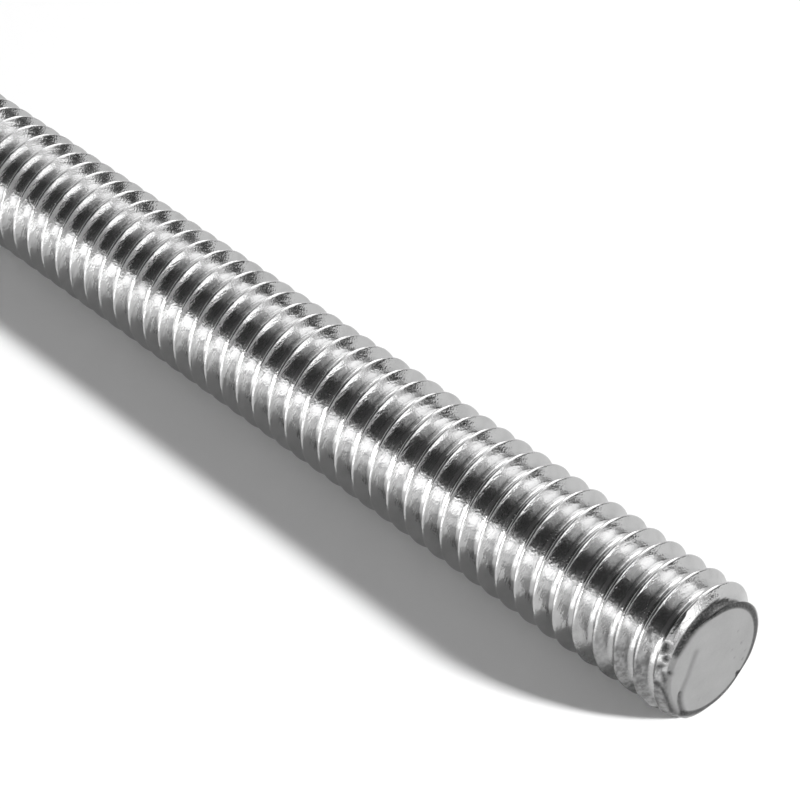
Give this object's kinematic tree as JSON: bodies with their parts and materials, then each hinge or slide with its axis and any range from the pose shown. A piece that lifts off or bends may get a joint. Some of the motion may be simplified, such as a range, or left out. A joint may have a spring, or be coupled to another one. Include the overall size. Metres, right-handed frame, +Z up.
{
  "type": "threaded rod",
  "caption": "Straight steel rod threaded over its whole length, right-hand, with chamfered ends and a bright zinc finish. Takes nuts anywhere along it.",
  "frame": {"origin": "on the rod's axis, half way between its two end faces", "axes": "+X along the rod's axis towards the near end, which has the cutting marks; +Z up as it lies; +Y to the left when looking along +X"},
  "size_m": [0.1016, 0.0078, 0.0078],
  "materials": {
    "zinc_plate": "bright zinc plate, glossy with fine rolled-thread marks"
  },
  "bodies": {
    "root": {"threaded_rod": "zinc_plate"}
  },
  "joints": []
}
